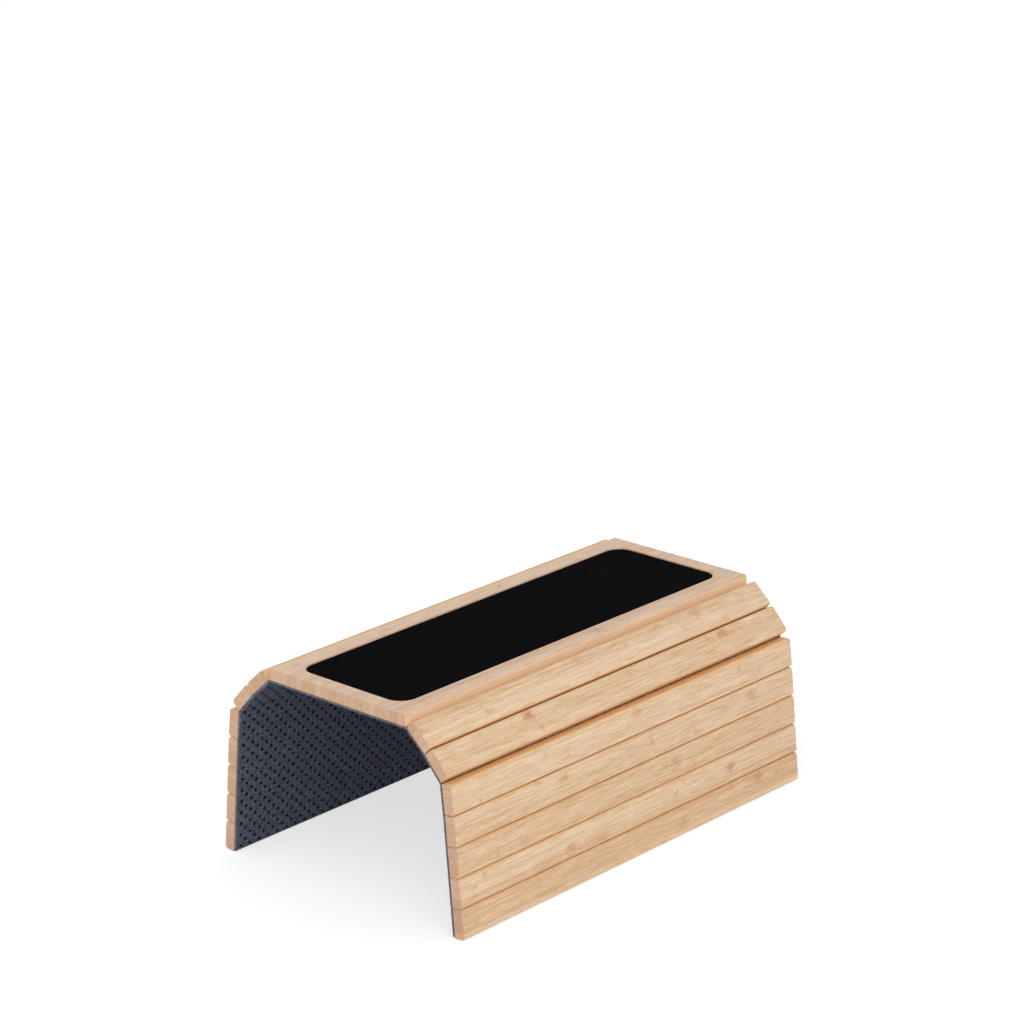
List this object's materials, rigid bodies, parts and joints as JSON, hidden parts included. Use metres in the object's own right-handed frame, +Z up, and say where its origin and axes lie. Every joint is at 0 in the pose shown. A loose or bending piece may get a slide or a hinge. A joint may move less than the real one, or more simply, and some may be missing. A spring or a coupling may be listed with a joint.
{
  "type": "sofa arm tray",
  "caption": "Flexible bamboo tray for a sofa arm: a wide board with a black grip pad, and narrow slats each side that fold down on a felt backing.",
  "frame": {"origin": "on the ground, under the middle of the centre board, with the tray folded and standing on its last slats", "axes": "+X across the slats towards the right side, +Y along the slats, +Z up out of the grip pad"},
  "size_m": [0.21, 0.33, 0.1363],
  "materials": {
    "bamboo_board": "laminated bamboo, clear satin finish",
    "bamboo_slats": "laminated bamboo, clear satin finish",
    "grip_pad": "matt black, fine grain",
    "felt": "charcoal non-woven felt with small raised grip dots"
  },
  "bodies": {
    "tray": {"centre_board": "bamboo_board", "grip_pad": "grip_pad", "felt_centre": "felt"},
    "left_1": {"slat_left_1": "bamboo_slats", "felt_left_1": "felt"},
    "left_2": {"slat_left_2": "bamboo_slats", "felt_left_2": "felt"},
    "left_3": {"slat_left_3": "bamboo_slats", "felt_left_3": "felt"},
    "left_4": {"slat_left_4": "bamboo_slats", "felt_left_4": "felt"},
    "left_5": {"slat_left_5": "bamboo_slats", "felt_left_5": "felt"},
    "left_6": {"slat_left_6": "bamboo_slats", "felt_left_6": "felt"},
    "left_7": {"slat_left_7": "bamboo_slats", "felt_left_7": "felt"},
    "right_1": {"slat_right_1": "bamboo_slats", "felt_right_1": "felt"},
    "right_2": {"slat_right_2": "bamboo_slats", "felt_right_2": "felt"},
    "right_3": {"slat_right_3": "bamboo_slats", "felt_right_3": "felt"},
    "right_4": {"slat_right_4": "bamboo_slats", "felt_right_4": "felt"},
    "right_5": {"slat_right_5": "bamboo_slats", "felt_right_5": "felt"},
    "right_6": {"slat_right_6": "bamboo_slats", "felt_right_6": "felt"},
    "right_7": {"slat_right_7": "bamboo_slats", "felt_right_7": "felt"}
  },
  "joints": [
    {"name": "fold_left_1", "type": "hinge", "parent": "tray", "child": "left_1", "pos_m": [-0.059, 0, 0.12755], "axis": [0, -1, 0], "range_deg": [-42, 8]},
    {"name": "fold_left_2", "type": "hinge", "parent": "left_1", "child": "left_2", "pos_m": [-0.07386, 0, 0.11417], "axis": [0, -1, 0], "range_deg": [-6, 32]},
    {"name": "fold_left_3", "type": "hinge", "parent": "left_2", "child": "left_3", "pos_m": [-0.08725, 0, 0.0993], "axis": [0, -1, 0], "range_deg": [-35.5, 2.5]},
    {"name": "fold_left_4", "type": "hinge", "parent": "left_3", "child": "left_4", "pos_m": [-0.08951, 0, 0.07943], "axis": [0, -1, 0], "range_deg": [-1.5, 36.5]},
    {"name": "fold_left_5", "type": "hinge", "parent": "left_4", "child": "left_5", "pos_m": [-0.09125, 0, 0.05951], "axis": [0, -1, 0], "range_deg": [0, 38]},
    {"name": "fold_left_6", "type": "hinge", "parent": "left_5", "child": "left_6", "pos_m": [-0.093, 0, 0.03958], "axis": [0, -1, 0], "range_deg": [0, 38]},
    {"name": "fold_left_7", "type": "hinge", "parent": "left_6", "child": "left_7", "pos_m": [-0.09474, 0, 0.01966], "axis": [0, -1, 0], "range_deg": [0, 38]},
    {"name": "fold_right_1", "type": "hinge", "parent": "tray", "child": "right_1", "pos_m": [0.059, 0, 0.12755], "axis": [0, 1, 0], "range_deg": [-42, 8]},
    {"name": "fold_right_2", "type": "hinge", "parent": "right_1", "child": "right_2", "pos_m": [0.07386, 0, 0.11417], "axis": [0, 1, 0], "range_deg": [-6, 32]},
    {"name": "fold_right_3", "type": "hinge", "parent": "right_2", "child": "right_3", "pos_m": [0.08725, 0, 0.0993], "axis": [0, 1, 0], "range_deg": [-35.5, 2.5]},
    {"name": "fold_right_4", "type": "hinge", "parent": "right_3", "child": "right_4", "pos_m": [0.08951, 0, 0.07943], "axis": [0, 1, 0], "range_deg": [-1.5, 36.5]},
    {"name": "fold_right_5", "type": "hinge", "parent": "right_4", "child": "right_5", "pos_m": [0.09125, 0, 0.05951], "axis": [0, 1, 0], "range_deg": [0, 38]},
    {"name": "fold_right_6", "type": "hinge", "parent": "right_5", "child": "right_6", "pos_m": [0.093, 0, 0.03958], "axis": [0, 1, 0], "range_deg": [0, 38]},
    {"name": "fold_right_7", "type": "hinge", "parent": "right_6", "child": "right_7", "pos_m": [0.09474, 0, 0.01966], "axis": [0, 1, 0], "range_deg": [0, 38]}
  ]
}
